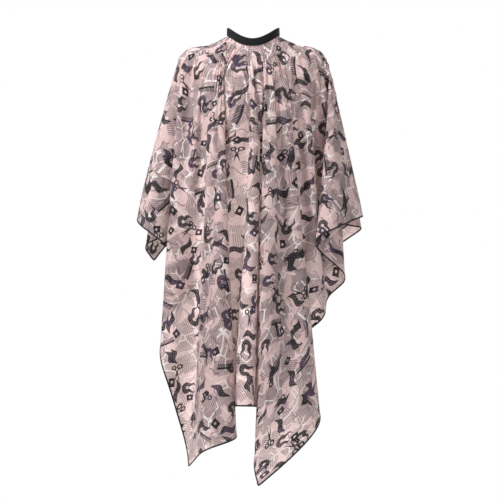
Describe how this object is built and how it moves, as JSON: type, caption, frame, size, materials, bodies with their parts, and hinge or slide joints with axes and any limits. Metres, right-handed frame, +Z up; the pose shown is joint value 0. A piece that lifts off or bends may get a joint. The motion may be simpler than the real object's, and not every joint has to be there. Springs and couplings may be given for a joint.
{
  "type": "barber cape",
  "caption": "Printed hair-cutting cape with a gathered neck, back slit, black elastic neckband and a metal cam clip that grips the sliding neck strap.",
  "frame": {"origin": "centre of the neck opening, level with the sides of the neckband", "axes": "+Z up, the wearer faces -Y, +X is the wearer's left"},
  "size_m": [0.6482, 0.4364, 1.2388],
  "materials": {
    "printed_cloth": "thin woven polyester, slightly see-through, printed in pink, taupe and plum",
    "hem_thread": "black overlock thread",
    "knit_band": "black ribbed knit, matt",
    "elastic_webbing": "black woven elastic",
    "nickel_steel": "bright nickel plate",
    "label_satin": "white satin, blank"
  },
  "bodies": {
    "cape": {"cape_back_left": "printed_cloth", "cape_back_right": "printed_cloth", "cape_wing_left": "printed_cloth", "cape_wing_right": "printed_cloth", "cape_side_left": "printed_cloth", "cape_side_right": "printed_cloth", "cape_front_left": "printed_cloth", "cape_front_right": "printed_cloth", "slit_facing_left": "printed_cloth", "slit_facing_right": "printed_cloth", "hem_back_left": "hem_thread", "hem_side_left": "hem_thread", "hem_front": "hem_thread", "hem_side_right": "hem_thread", "hem_back_right": "hem_thread", "neckband_stitching_outer": "hem_thread", "neckband_stitching_inner": "hem_thread", "bartack_strap_exit": "hem_thread", "bartack_clip_end": "hem_thread", "neckband_casing": "knit_band", "care_label": "label_satin", "clip_keeper": "elastic_webbing", "clip_base": "nickel_steel", "clip_pin": "nickel_steel"},
    "lever": {"clip_lever": "nickel_steel"},
    "strap": {"elastic_strap": "elastic_webbing", "strap_tip": "nickel_steel"}
  },
  "joints": [
    {"name": "clip_lever_hinge", "type": "hinge", "parent": "cape", "child": "lever", "pos_m": [-0.00274, 0.07613, -0.01342], "axis": [0, -0.2079, -0.9781], "range_deg": [0, 100]},
    {"name": "neck_strap_slide", "type": "hinge", "parent": "cape", "child": "strap", "pos_m": [0, 0, 0], "axis": [0, 0.2079, 0.9781], "range_deg": [-12, 30]}
  ]
}
